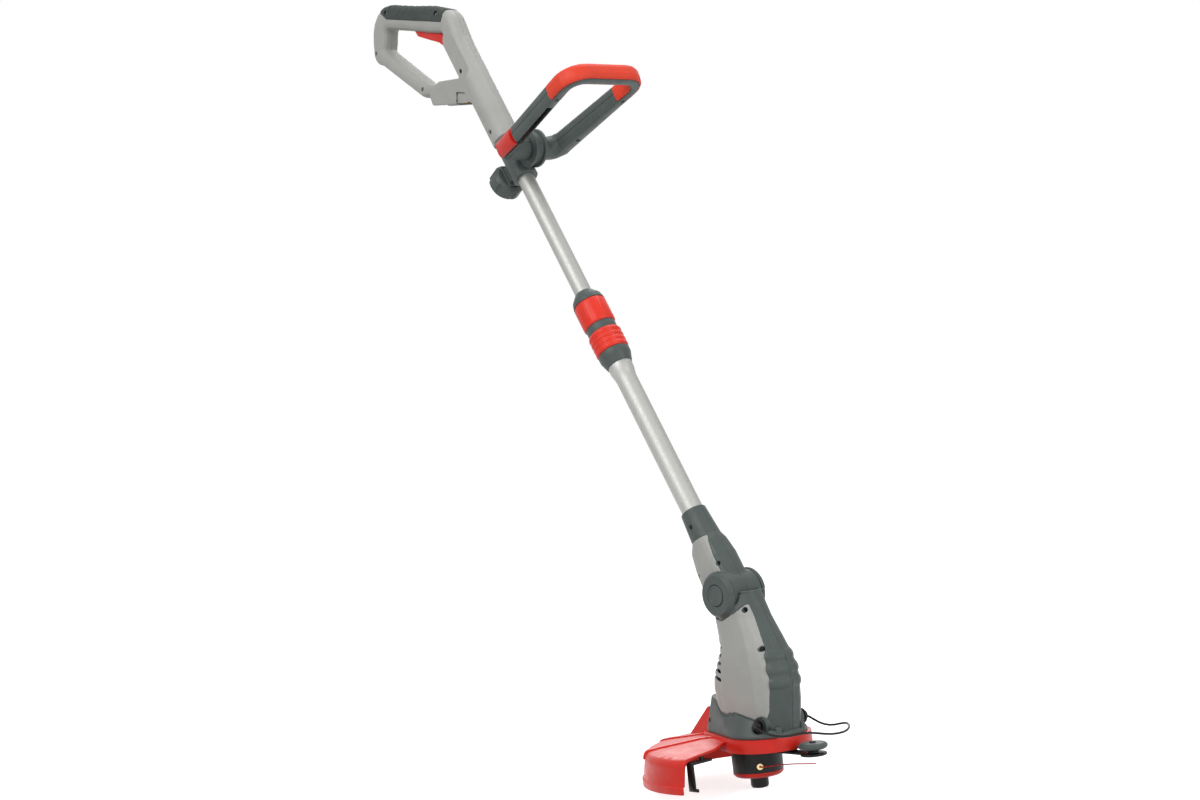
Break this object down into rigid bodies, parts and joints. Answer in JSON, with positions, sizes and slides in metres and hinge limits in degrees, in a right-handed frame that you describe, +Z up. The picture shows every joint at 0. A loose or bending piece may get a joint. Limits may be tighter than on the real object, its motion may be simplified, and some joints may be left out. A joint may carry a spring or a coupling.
{
  "type": "string trimmer",
  "caption": "Battery string trimmer with a telescopic leaning shaft, adjustable front loop handle, D-shaped rear handle, tilting motor head, guard, wire plant guard and line spool.",
  "frame": {"origin": "middle of the bump knob's lower face, on the spool axis", "axes": "+Z up the spool axis, +X forward away from the user, +Y to the user's left; the shaft leans back in the plane Y = 0"},
  "size_m": [0.8747, 0.2631, 1.1983],
  "materials": {
    "rear_casing": "fine moulded texture",
    "dark_casing": "fine moulded texture",
    "grip_rubber": "soft matt",
    "black_plastic": "moulded",
    "red_plastic": "smooth moulded",
    "collar_red": "moulded",
    "grip_red": "soft matt",
    "tube_metal": "drawn and anodised",
    "bright_steel": "turned",
    "black_steel": "black coated",
    "contact_brass": "plated",
    "eyelet_brass": "plated",
    "motor_steel": "zinc plated",
    "line_nylon": "smooth extruded"
  },
  "bodies": {
    "handle": {"rear_shell_right": "rear_casing", "rear_shell_left": "rear_casing", "soft_grip": "grip_rubber", "casing_screws": "black_steel", "battery_contacts": "contact_brass", "trigger_switch": "black_plastic", "trigger_pin": "bright_steel", "trigger_spring": "bright_steel", "upper_tube": "tube_metal", "tube_bush": "black_plastic", "lead_coil": "black_plastic"},
    "trigger": {"trigger": "red_plastic"},
    "clamp": {"handle_clamp": "dark_casing", "clamp_shoe": "black_plastic"},
    "knob": {"clamp_bolt": "bright_steel", "clamp_knob": "dark_casing"},
    "front_handle": {"loop_shell_upper": "dark_casing", "loop_shell_lower": "dark_casing", "grip_cover": "grip_red", "loop_screws": "black_steel", "hinge_bolt": "bright_steel", "hinge_spring": "bright_steel"},
    "handle_button": {"hinge_button": "red_plastic"},
    "collar": {"collar_body": "dark_casing", "clamp_collet": "black_plastic", "sleeve_spring": "bright_steel"},
    "lock_ring": {"lock_ring": "collar_red"},
    "release_sleeve": {"release_sleeve": "collar_red"},
    "lower_shaft": {"lower_tube": "tube_metal", "collar_base": "dark_casing", "bracket_shell_right": "dark_casing", "bracket_shell_left": "dark_casing", "bracket_panel_right": "rear_casing", "bracket_panel_left": "rear_casing", "bracket_screws": "black_steel", "lead_lower": "black_plastic"},
    "head": {"motor_shell_right": "dark_casing", "motor_shell_left": "dark_casing", "side_panel_right": "rear_casing", "side_panel_left": "rear_casing", "base_collar": "dark_casing", "motor": "motor_steel", "tilt_pin": "bright_steel", "tilt_spring": "bright_steel", "head_screws": "black_steel", "guard": "red_plastic", "line_cutter": "black_steel", "wheel_bracket": "black_plastic"},
    "tilt_button": {"tilt_button": "dark_casing"},
    "guide_wheel": {"guide_wheel": "dark_casing"},
    "wire_guard": {"wire_guard": "black_steel"},
    "spool": {"motor_shaft": "bright_steel", "spool_housing": "black_plastic", "spool_cover": "red_plastic", "eyelets": "eyelet_brass", "cutting_line": "line_nylon", "bump_spring": "bright_steel"},
    "bump": {"reel": "dark_casing", "bump_knob": "black_plastic", "bump_tip": "bright_steel"}
  },
  "joints": [
    {"name": "trigger_squeeze", "type": "hinge", "parent": "handle", "child": "trigger", "pos_m": [-0.59296, 0, 1.14908], "axis": [0, -1, 0], "range_deg": [0, 5.5], "stiffness_Nm_per_rad": 0.8, "springref_deg": -17.19},
    {"name": "clamp_slide", "type": "slide", "parent": "handle", "child": "clamp", "axis": [-0.5, 0, 0.866], "range_m": [-0.05, 0.012]},
    {"name": "knob_turn", "type": "hinge", "parent": "clamp", "child": "knob", "pos_m": [-0.3755, 0, 0.89243], "axis": [0.866, 0, 0.5], "range_deg": [0, 540]},
    {"name": "handle_tilt", "type": "hinge", "parent": "clamp", "child": "front_handle", "pos_m": [-0.34259, 0, 0.91143], "axis": [0, 1, 0], "range_deg": [-40, 70]},
    {"name": "handle_button_press", "type": "slide", "parent": "front_handle", "child": "handle_button", "axis": [0, 1, 0], "range_m": [0, 0.0035], "stiffness_N_per_m": 600, "springref_m": -0.004},
    {"name": "telescope", "type": "slide", "parent": "handle", "child": "collar", "axis": [0.5, 0, -0.866], "range_m": [-0.15, 0.11]},
    {"name": "lock_ring_turn", "type": "hinge", "parent": "collar", "child": "lock_ring", "pos_m": [-0.235, 0, 0.64908], "axis": [-0.5, 0, 0.866], "range_deg": [-60, 0]},
    {"name": "sleeve_pull", "type": "slide", "parent": "collar", "child": "release_sleeve", "axis": [-0.5, 0, 0.866], "range_m": [0, 0.0075], "stiffness_N_per_m": 900, "springref_m": -0.006},
    {"name": "shaft_turn", "type": "hinge", "parent": "collar", "child": "lower_shaft", "pos_m": [-0.1595, 0, 0.51831], "axis": [-0.5, 0, 0.866], "range_deg": [0, 180]},
    {"name": "head_tilt", "type": "hinge", "parent": "lower_shaft", "child": "head", "pos_m": [-0.0095, 0, 0.2585], "axis": [0, 1, 0], "range_deg": [-30, 30]},
    {"name": "tilt_button_press", "type": "slide", "parent": "head", "child": "tilt_button", "axis": [0, 1, 0], "range_m": [0, 0.0027], "stiffness_N_per_m": 600, "springref_m": -0.004},
    {"name": "wheel_spin", "type": "hinge", "parent": "head", "child": "guide_wheel", "pos_m": [0.108, 0, 0.062], "axis": [0, 0, 1], "continuous": true},
    {"name": "wire_fold", "type": "hinge", "parent": "head", "child": "wire_guard", "pos_m": [0.053, 0, 0.091], "axis": [0, 1, 0], "range_deg": [-70, 0]},
    {"name": "spool_spin", "type": "hinge", "parent": "head", "child": "spool", "pos_m": [0, 0, 0.042], "axis": [0, 0, 1], "continuous": true},
    {"name": "bump_press", "type": "slide", "parent": "spool", "child": "bump", "axis": [0, 0, 1], "range_m": [0, 0.005], "stiffness_N_per_m": 1500, "springref_m": -0.004, "deforming": ["bump_spring"]}
  ]
}
